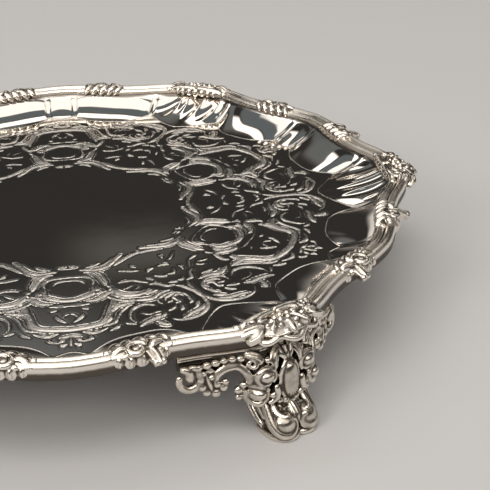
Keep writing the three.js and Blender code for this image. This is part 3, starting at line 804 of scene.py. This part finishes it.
def leaf_soup():
    """A twisted acanthus over the border, in (s, u, v) millimetres, curling to +s."""
    so = Soup()
    # body over both reeds
    blade(so, [(-10.2, 0.0, 8.4, 2.4), (-7.6, -0.3, 9.2, 3.7), (-3.0, -0.4, 9.6, 4.2), (3.0, -0.3, 9.6, 4.2), (7.8, -0.1, 9.0, 3.7), (10.4, 0.2, 8.3, 2.4)], n=40, m=17, crown=0.16, ribs=3, rib=0.04, thick=3.2)
    # fat twisted folds that wrap the inner reed
    for s0, w in ((-8.0, 1.35), (-4.4, 1.75), (-0.4, 1.85), (3.8, 1.8), (7.8, 1.45)):
        tube(so, [(s0 - 2.3, 0.6, 9.6, w * 0.55), (s0 - 1.5, -1.2, 10.0, w * 0.9), (s0 - 0.3, -3.0, 9.3, w), (s0 + 0.9, -3.7, 7.9, w * 0.95), (s0 + 1.7, -3.3, 6.8, w * 0.6)], n=34, sides=16, ridges=1, depth=0.10)
    # the round curl with its eye
    volute(so, (1.6, 2.1, 9.6), 3.9, 1.6, -170, 235, 1.35, 0.95, e1=(1, 0, 0), e2=(0, 0.95, -0.16), lift=0.5, n=70)
    pearl(so, (1.7, 2.1, 9.8), 1.45, (1.05, 1, 0.7))
    # rounded crest leaves either side of the curl
    tube(so, [(-9.8, 1.6, 8.6, 1.1), (-7.6, 0.6, 9.8, 1.5), (-5.2, 1.2, 10.2, 1.5), (-3.2, 2.8, 9.8, 1.2)], n=40, ridges=2, depth=0.10)
    tube(so, [(4.6, 0.8, 10.0, 1.1), (6.8, 0.4, 10.0, 1.5), (8.8, 1.2, 9.4, 1.4), (10.2, 2.0, 8.4, 1.0)], n=36, ridges=2, depth=0.10)
    # outward tongue with a blunt, folded tip
    blade(so, [(-3.0, 2.2, 9.6, 2.0), (-3.6, 4.4, 9.1, 2.5), (-4.0, 6.6, 8.3, 2.5), (-4.2, 8.2, 7.5, 2.3), (-4.3, 9.1, 6.9, 2.1)], n=36, crown=0.30, ribs=2, rib=0.11, thick=2.3)
    for ds in (-1.25, 1.25):
        pearl(so, (-4.3 + ds, 8.2, 7.0), 1.25, (1.05, 0.95, 1.0))
    # rounded petals folded down over the outer face
    for s0, u0, v0, r0, h0 in ((-8.6, 2.7, 7.0, 2.1, 2.3), (0.2, 3.7, 6.8, 2.7, 2.9), (4.4, 3.5, 6.7, 2.1, 2.7), (8.0, 2.8, 7.0, 1.9, 2.3)):
        pearl(so, (s0, u0, v0), 1.0, (r0, 1.35, h0), 18)
        tube(so, [(s0 - 0.2, u0 + 0.9, v0 + 1.9, 0.45), (s0, u0 + 1.5, v0, 0.5), (s0 + 0.1, u0 + 1.1, v0 - 1.8, 0.35)], ref=(0, 1, 0), n=14, sides=8)
    for s0, u0, v0, r0 in [(-6.2, 3.6, 8.4, 1.2), (5.8, 3.2, 8.6, 1.1), (-10.4, -1.6, 8.3, 1.5), (10.6, -1.6, 8.2, 1.5), (-10.6, 1.9, 8.4, 1.7), (10.9, 2.1, 8.3, 1.6)]:
        pearl(so, (s0, u0, v0), r0, (1.15, 1, 1))
    return so


def on_edge(deg0):
    def place(p):
        return on_border(deg0 + np.degrees(p[:, 0] / (R * 1.0)), p[:, 1], p[:, 2])
    return place


def lay(name, proto, deg, mirror, node, mat):
    v, q, t, cav = proto
    v = turned(v, deg, mirror)
    if mirror:
        q, t = q[:, ::-1], t[:, ::-1]
    me = mesh_from(name, v, q, t)
    add_values(me, "cavity", cav)
    return piece(name, me, [node], mat)


def make_mounts():
    # prototypes stand at the shell at -90 degrees and at the leaf after it
    shell = fused("shell", shell_soup(), on_edge(-90.0), 0.27, 1)
    leaf = fused("leaf", leaf_soup(), on_edge(-90.0 + 20.5), 0.25, 1)
    for k in range(6):
        lay(f"shell_{k + 1}", shell, 60 * k, False, f"shell_mount_{k + 1}", M_MOUNT)
        lay(f"acanthus_{2 * k + 1}", leaf, 60 * k, False, f"leaf_mount_{2 * k + 1}", M_MOUNT)
        lay(f"acanthus_{2 * k + 2}", leaf, 60 * (k + 1), True, f"leaf_mount_{2 * k + 2}", M_MOUNT)


# ------------------------------------------------------------------ feet
APRON_LOW = np.array([(0, -22.2), (4, -21.8), (8, -21.2), (11, -20.2), (13, -17.5), (14.2, -12), (15.4, -8.6), (17.5, -7.3), (20.5, -7.2), (22, -8.8), (23.5, -12.2), (26, -13.4), (29, -11), (30.5, -7.4), (33, -6.8), (35.6, -6.4), (37, -5.4)])


def apron_place(p):
    """(w along, n out from the face, z above the plate) to the part's frame."""
    w, n, z = p.T
    side = np.clip((17.0 - np.abs(w)) / 6.5, 0, 1)
    side = side * side * (3 - 2 * side)
    down = np.clip((1.0 - z) / 9, 0, 1) * 0.85 + 0.15 * np.clip(-z / 22, 0, 1)
    return on_border(-90 + np.degrees(w / 137.0), -2.9 + n + 4.4 * side * down, z)


def apron_soup():
    so = Soup()
    w = np.linspace(-36.6, 36.6, 147)
    low = np.interp(np.abs(w), APRON_LOW[:, 0], APRON_LOW[:, 1])
    low = np.convolve(np.pad(low, 2, mode="edge"), np.ones(5) / 5, "valid")
    k = np.linspace(0, 1, 21)
    z = 3.3 + (low[:, None] - 3.3) * k
    front = np.stack([w[:, None] + 0 * z, 0.0 - 0.5 * np.clip((-z - 1) / 4, 0, 1), z], -1)
    back = np.stack([w[:, None] + 0 * z, -1.9 + 0 * z, z], -1)
    slab(so, front, back)
    # thin double moulding under the plain strip
    tube(so, [(-37, 0.25, -0.7, 0.5), (0, 0.25, -0.7, 0.5), (37, 0.25, -0.7, 0.5)], ref=(0, 1, 0), n=120, sides=10)
    tube(so, [(-36.8, 0.1, -1.8, 0.36), (0, 0.1, -1.8, 0.36), (36.8, 0.1, -1.8, 0.36)], ref=(0, 1, 0), n=120, sides=8)
    for m in (-1, 1):
        x = lambda rows: [(r[0] * m,) + tuple(r[1:]) for r in rows]
        # row of small beads and buds below the moulding
        for s0, z0, r0 in [(15.9, -3.3, 1.3), (18.6, -3.1, 1.35), (21.4, -3.3, 1.2), (24.2, -3.8, 1.4), (27.0, -4.3, 1.45), (26.0, -6.6, 1.1), (29.8, -4.9, 1.3), (9.6, -4.2, 1.2), (6.8, -5.0, 1.2), (3.2, -3.6, 1.1), (5.3, -8.0, 1.1)]:
            pearl(so, (s0 * m, 0.8, z0), r0, (1.1, 0.95, 1))
        # C-scroll at the wing's end, its eye hanging inside
        cx, cz = 33.0, -9.2
        a = np.radians(np.linspace(62, 398, 24))
        rr = np.linspace(4.1, 3.5, 24)
        rad = 1.15 + 0.4 * np.sin(np.linspace(0, math.pi, 24))
        tube(so, np.stack([(cx + rr * np.cos(a)) * m, 0.7 + 0 * a, cz + rr * np.sin(a), rad], -1), ref=(0, 1, 0), n=80, sides=16, ridges=2, depth=0.10)
        tube(so, x([(36.2, 0.8, -5.0, 1.1), (34.6, 1.1, -4.7, 1.4), (33.2, 1.3, -6.0, 1.6), (33.0, 1.3, -8.2, 1.6), (33.1, 1.1, -9.6, 1.0)]), ref=(0, 1, 0), n=40)
        tube(so, x([(34.2, 0.8, -4.9, 1.0), (31.6, 0.9, -4.6, 1.3), (29.2, 0.9, -5.8, 1.1)]), ref=(0, 1, 0), n=24)
        # hanging leaf with lobed ends
        blade(so, x([(27.6, 0.5, -6.6, 1.4), (27.0, 1.0, -9.5, 2.6), (26.2, 1.3, -12.4, 3.0), (25.6, 1.2, -14.6, 1.8)]), ref=(0, 1, 0), crown=0.3, ribs=3, rib=0.12, thick=1.8)
        for s0, z0, r0 in [(28.9, -12.4, 1.6), (27.4, -14.6, 1.6), (24.5, -15.2, 1.8), (22.0, -13.4, 1.6), (21.2, -11.4, 1.3), (24.0, -12.0, 1.4), (29.3, -9.6, 1.3), (25.6, -9.2, 1.2), (28.2, -7.4, 1.0)]:
            pearl(so, (s0 * m, 1.1, z0), r0, (1, 0.9, 1))
        # arched double band springing from the leaf to the great volute
        tube(so, x([(24.6, 1.0, -10.8, 1.2), (23.6, 1.1, -8.0, 1.55), (21.0, 1.1, -6.1, 1.65), (17.8, 1.1, -5.7, 1.7), (15.2, 1.0, -7.6, 1.6), (13.8, 0.9, -10.6, 1.5), (13.6, 0.8, -13.2, 1.2)]), ref=(0, 1, 0), n=80, sides=20, ridges=3, depth=0.24)
        # great volute with its pearl
        cx, cz = 12.3, -17.2
        a = np.radians(np.linspace(60, 480, 32))
        rr = np.linspace(4.0, 1.9, 32)
        tube(so, np.stack([(cx + rr * np.cos(a)) * m, 0.9 + 1.1 * np.linspace(0, 1, 32), cz + rr * np.sin(a), np.linspace(1.35, 0.9, 32)], -1), ref=(0, 1, 0), n=100, sides=16, ridges=2, depth=0.10)
        pearl(so, ((cx - 0.4) * m, 1.9, cz + 0.8), 2.2, (1.25, 0.85, 0.9))
        for s0, z0, r0 in [(17.0, -15.6, 1.5), (16.9, -18.4, 1.3), (15.6, -13.6, 1.2)]:
            pearl(so, (s0 * m, 0.9, z0), r0, (1, 0.9, 1))
        # upper volute round a large pearl
        cx, cz = 8.6, -10.6
        a = np.radians(np.linspace(230, -130, 28))
        rr = np.linspace(3.4, 2.8, 28)
        tube(so, np.stack([(cx + rr * np.cos(a)) * m, 1.0 + 0 * a, cz + rr * np.sin(a), 0.9 + 0.25 * np.sin(np.linspace(0, math.pi, 28))], -1), ref=(0, 1, 0), n=80, sides=14)
        pearl(so, ((cx - 0.2) * m, 1.7, cz + 0.4), 2.2, (1.1, 0.9, 0.95))
        # small volute and leaves above
        volute(so, (12.7 * m, 1.0, -5.2), 1.9, 0.6, 100, 100 + 380 * m, 0.85, 0.6, e1=(1, 0, 0), e2=(0, 0, 1), lift=0)
        blade(so, x([(14.6, 0.6, -2.6, 0.9), (12.4, 1.3, -2.4, 1.5), (10.4, 1.5, -3.4, 1.4), (9.4, 1.3, -5.4, 0.8)]), ref=(0, 1, 0), crown=0.4, ribs=2, rib=0.1, thick=1.5)
        blade(so, x([(1.6, 1.2, -1.8, 0.9), (4.0, 1.7, -3.0, 1.6), (5.0, 1.9, -5.2, 1.5), (5.0, 1.7, -7.6, 0.9)]), ref=(0, 1, 0), crown=0.4, ribs=2, rib=0.1, thick=1.5)
        tube(so, x([(5.4, 1.4, -14.2, 0.9), (5.0, 1.8, -16.6, 1.2), (5.4, 1.9, -19.0, 1.2), (7.0, 1.6, -20.4, 1.0), (8.4, 1.2, -20.4, 0.8)]), ref=(0, 1, 0), n=40)
        # beads and rings beside the cabochon's foot
        for s0, z0, r0 in [(2.0, -21.6, 1.2), (4.2, -20.9, 1.15), (1.0, -22.6, 1.0), (6.6, -18.0, 1.1), (8.6, -15.2, 1.0)]:
            pearl(so, (s0 * m, 1.6, z0), r0)
    for s0 in (-2.2, 0, 2.2):
        blade(so, [(s0 * 0.2, 1.6, -6.4, 0.7), (s0 * 0.8, 2.0, -4.2, 1.2), (s0 * 1.2, 1.6, -1.9, 0.8)], ref=(0, 1, 0), crown=0.4, ribs=1, rib=0.1, thick=1.4)
    # the long cabochon in its frame
    pearl(so, (0, 1.9, -14.0), 1.0, (2.9, 2.4, 6.9), 26)
    a = np.linspace(0, 2 * math.pi, 40)
    tube(so, np.stack([3.4 * np.cos(a), 1.4 + 0 * a, -14.0 + 7.5 * np.sin(a), 0.8 + 0 * a], -1), ref=(0, 1, 0), n=100, sides=10, round_ends=False)
    return so


def leg_place(p):
    """(w sideways, r out from the axis, z above the plate)."""
    w, r, z = p.T
    a = math.radians(-90)
    return np.stack([r * math.cos(a) - w * math.sin(a), r * math.sin(a) + w * math.cos(a), PLATE + z], -1)


def leg_soup():
    so = Soup()
    # core from the plate down to the toe
    rows = [(-1.5, 118, 130.5, 8.4), (-6, 118.3, 132.2, 8.8), (-12, 120.5, 135.0, 8.8), (-18, 124, 138.0, 8.4), (-22, 127.5, 141.5, 8.0), (-25, 130.5, 144.6, 7.4), (-28, 132.6, 147.0, 7.5), (-31, 133.8, 148.4, 8.0), (-33.5, 134.4, 148.6, 8.2), (-35, 134.8, 147.6, 7.8)]
    c = through(rows, 40)
    nj = 40
    a = np.linspace(0, 2 * math.pi, nj, endpoint=False)
    ca, sa = np.cos(a), np.sin(a)
    p = []
    for z, r0, r1, hw in c:
        mid, half = (r0 + r1) / 2, (r1 - r0) / 2
        p.append(np.stack([hw * np.sign(ca) * np.abs(ca) ** 0.8, mid + half * np.sign(sa) * np.abs(sa) ** 0.8, np.full(nj, z)], -1))
    so.closed_tube(np.stack(p)[::-1])
    for m in (-1, 1):
        x = lambda rows: [(r[0] * m,) + tuple(r[1:]) for r in rows]
        # two heavy lobes make the heart of the toe
        pearl(so, (4.7 * m, 146.0, -29.8), 1.0, (4.7, 5.1, 5.0), 22)
        # scroll bands down each side of the leg, round the lobe and back in a spiral
        tube(so, x([(8.2, 139.0, -19.5, 1.1), (8.6, 141.4, -22.5, 1.5), (8.8, 143.6, -26.0, 1.8), (8.6, 146.2, -29.6, 2.1), (7.2, 148.4, -31.8, 2.3), (4.8, 149.5, -32.2, 2.3), (2.4, 149.2, -31.0, 1.9), (1.7, 148.9, -28.8, 1.3), (3.0, 149.2, -27.2, 1.0), (4.8, 149.6, -27.6, 0.8), (5.2, 149.9, -28.8, 0.6)]), ref=(0, 1, 0.3), n=110, sides=20, ridges=3, depth=0.13)
        tube(so, x([(6.0, 140.6, -20.5, 0.9), (6.4, 142.8, -23.2, 1.2), (6.6, 145.4, -25.4, 1.35), (5.4, 148.0, -26.2, 1.2), (3.4, 148.8, -25.8, 0.9)]), ref=(0, 1, 0.6), n=60)
        pearl(so, (4.0 * m, 149.6, -29.2), 1.15)
        # side leaf running down the leg
        blade(so, x([(8.8, 132, -15.5, 1.0), (9.0, 135, -19.5, 1.7), (9.2, 138.4, -24.0, 1.8), (9.0, 141.8, -28.4, 1.0)]), ref=(1 * m, 0.3, 0), crown=0.35, ribs=2, rib=0.12, thick=1.6)
        blade(so, x([(8.6, 128, -20.0, 0.9), (8.8, 131, -25.0, 1.6), (8.9, 135.4, -29.6, 1.7), (8.8, 139.6, -32.6, 0.9)]), ref=(1 * m, 0.2, 0), crown=0.35, ribs=2, rib=0.12, thick=1.6)
        # lower edge of the toe
        tube(so, x([(7.8, 136.0, -33.9, 1.1), (8.6, 140.0, -33.9, 1.1), (8.6, 145.0, -33.9, 1.15), (7.2, 148.7, -33.9, 1.15), (4.6, 150.4, -33.9, 1.15), (1.6, 149.9, -33.9, 1.1), (0, 148.4, -33.9, 1.0)]), n=60)
    # matted panel of small beads above the toe
    for i in range(90):
        s0 = RNG.uniform(-5.0, 5.0)
        f = RNG.uniform(0, 1)
        pearl(so, (s0, 141.0 + 5.4 * f - 0.12 * abs(s0), -21.6 - 3.6 * f), RNG.uniform(0.5, 0.75), n=8)
    blade(so, [(0, 144.2, -22.6, 1.2), (0, 146.8, -24.6, 2.0), (0, 148.8, -27.0, 1.8), (0, 149.2, -29.4, 0.8)], ref=(0, 1, 0.6), crown=0.35, ribs=3, rib=0.1, thick=1.6)
    return so


def make_feet():
    apron = fused("apron", apron_soup(), apron_place, 0.30, 1)
    leg = fused("leg", leg_soup(), leg_place, 0.32, 1)
    # height over the ground of the panel, so painted shade and oxide stay on the ground behind the scrolls
    x, y, z = apron[0].T
    deg = np.degrees(np.arctan2(y, x))
    w = np.radians(deg + 90) * 137.0
    probe = apron_place(np.stack([w, 0 * w, z - PLATE], -1))
    over = np.hypot(x, y) - np.hypot(probe[:, 0], probe[:, 1])
    apron[3][:] = apron[3] + 0.34 * np.clip((0.95 - over) / 0.6, 0, 1) * np.clip((-2.0 - (z - PLATE)) / 1.0, 0, 1)
    v = leg[0]
    v[:, 2] = np.maximum(v[:, 2], 0.0)  # the sole is filed flat
    v[:, 2] = np.minimum(v[:, 2], PLATE - 1.1)
    for k in range(3):
        lay(f"apron_{k + 1}", apron, 120 * k + 0.6, False, f"foot_apron_{k + 1}", M_FOOT)
        lay(f"scroll_leg_{k + 1}", leg, 120 * k + 0.6, False, f"foot_leg_{k + 1}", M_FOOT)


make_tray()
make_border()
make_mounts()
make_feet()


# ------------------------------------------------------------------ studio
def toward(az, el):
    """Direction seen from the object: azimuth from the way the camera looks, to its right."""
    a = math.radians(az)
    e = math.radians(el)
    x, y, z = math.sin(a) * math.cos(e), math.cos(a) * math.cos(e), math.sin(e)
    c, s = math.cos(VIEW_TURN), math.sin(VIEW_TURN)
    return Vector((x * c - y * s, x * s + y * c, z))


def softbox(name, az, el, dist, wide, tall, power, colour):
    data = bpy.data.lights.new(name, "AREA")
    data.shape = "RECTANGLE"
    data.size, data.size_y = wide, tall
    data.energy = power
    data.color = colour
    ob = bpy.data.objects.new(name, data)
    bpy.context.scene.collection.objects.link(ob)
    d = toward(az, el)
    ob.location = d * dist + Vector((0, 0, 0.04))
    ob.rotation_euler = d.to_track_quat("Z", "Y").to_euler()
    return ob


def studio():
    side = 14.0
    me = bpy.data.meshes.new("floor")
    me.from_pydata([(-side, -side, 0), (side, -side, 0), (side, side, 0), (-side, side, 0)], [], [(0, 1, 2, 3)])
    floor = bpy.data.objects.new("floor", me)
    bpy.context.scene.collection.objects.link(floor)
    mat = bpy.data.materials.new("floor")
    mat.use_nodes = True
    b = mat.node_tree.nodes["Principled BSDF"]
    b.inputs["Base Color"].default_value = (0.54, 0.545, 0.56, 1)
    b.inputs["Roughness"].default_value = 0.9
    b.inputs["Specular IOR Level"].default_value = 0.1
    me.materials.append(mat)

    # radiance of a softbox = power / (pi * area)
    def watts(radiance, wide, tall):
        return radiance * math.pi * wide * tall

    softbox("key", 176, 62, 2.4, 1.5, 1.1, watts(2.9, 1.5, 1.1), (1.0, 0.94, 0.87))
    softbox("front", -146, 30, 1.9, 0.46, 0.46, watts(13.0, 0.46, 0.46), (1.0, 0.95, 0.88))
    softbox("rim", -70, 56, 2.4, 0.5, 1.2, watts(2.2, 0.5, 1.2), (1.0, 0.96, 0.90))

    # the room: a broad lit scrim behind the salver and another overhead and behind the
    # camera, with soft edges, in a dim studio; shaded by direction only
    world = bpy.data.worlds.new("studio")
    bpy.context.scene.world = world
    world.use_nodes = True
    nt = world.node_tree
    nt.nodes.clear()
    N, L = nt.nodes.new, nt.links.new
    out, bg = N("ShaderNodeOutputWorld"), N("ShaderNodeBackground")
    tc = N("ShaderNodeTexCoord")
    turn = N("ShaderNodeVectorRotate")
    turn.rotation_type = "Z_AXIS"
    turn.inputs["Angle"].default_value = -VIEW_TURN
    L(tc.outputs["Generated"], turn.inputs["Vector"])
    sep = N("ShaderNodeSeparateXYZ")
    L(turn.outputs[0], sep.inputs[0])

    def m_(op, a, b=None):
        k = N("ShaderNodeMath")
        k.operation = op
        for i, val in enumerate((a, b)):
            if val is None:
                continue
            if isinstance(val, (int, float)):
                k.inputs[i].default_value = float(val)
            else:
                L(val, k.inputs[i])
        return k.outputs[0]

    def step(sock, a, b, c=0.0, d=1.0):
        k = N("ShaderNodeMapRange")
        k.interpolation_type = "SMOOTHSTEP"
        for i, val in zip((1, 2, 3, 4), (a, b, c, d)):
            k.inputs[i].default_value = val
        L(sock, k.inputs[0])
        return k.outputs[0]

    deg = 180 / math.pi
    el = m_("MULTIPLY", m_("ARCSINE", sep.outputs["Z"]), deg)
    az = m_("MULTIPLY", m_("ARCTAN2", sep.outputs["X"], sep.outputs["Y"]), deg)  # 0 away, + right
    away = m_("ABSOLUTE", az)

    def scrim(lo, hi, left, right, soft, level):
        e = m_("MULTIPLY", step(el, lo[0], lo[1]), step(el, hi[0], hi[1], 1, 0))
        a = m_("MULTIPLY", step(az, left - soft, left + soft), step(az, right - soft, right + soft, 1, 0))
        return m_("MULTIPLY", m_("MULTIPLY", e, a), level)

    low = scrim((36.4, 38), (43.6, 45), -27, 52, 4, 1.7)
    high = scrim((56.6, 58.4), (100, 101), -100, 70, 6, 1.12)
    rear = m_("MULTIPLY", m_("MULTIPLY", step(away, 100, 122), step(el, 24, 33)), 1.25)
    left_card = scrim((24, 30), (44, 50), -128, -96, 6, 0.8)
    right_card = scrim((12, 22), (46, 56), 62, 100, 8, 0.30)
    window = scrim((2, 6), (11, 16), -62, -15, 3, 0.65)
    glow = scrim((26.3, 30.5), (37, 38), -60, -7.8, 3.2, 0.11)
    patch = scrim((24.3, 25.6), (26.0, 27.6), -8.3, -2.6, 2.0, 0.06)
    dim = step(el, -4, 14, 0.28, 0.03)
    grey = m_("MULTIPLY", step(el, 44, 47), 0.105)
    total = dim
    for part in (grey, low, high, rear, left_card, right_card, window, glow, patch):
        total = m_("ADD", total, part)
    L(total, bg.inputs["Strength"])
    tone = N("ShaderNodeMix")
    tone.data_type = "RGBA"
    cool = m_("MULTIPLY", m_("MAXIMUM", m_("MULTIPLY", grey, 9.5), m_("MULTIPLY", glow, 5.0)), step(total, 0.5, 0.2, 0.0, 1.0))
    L(cool, tone.inputs[0])
    tone.inputs[6].default_value = (1.0, 0.935, 0.855, 1)
    tone.inputs[7].default_value = (0.86, 0.97, 1.0, 1)
    L(tone.outputs[2], bg.inputs["Color"])
    L(bg.outputs[0], out.inputs[0])
    view = bpy.context.scene.view_settings
    view.view_transform = "Standard"
    view.look = "None"


studio()
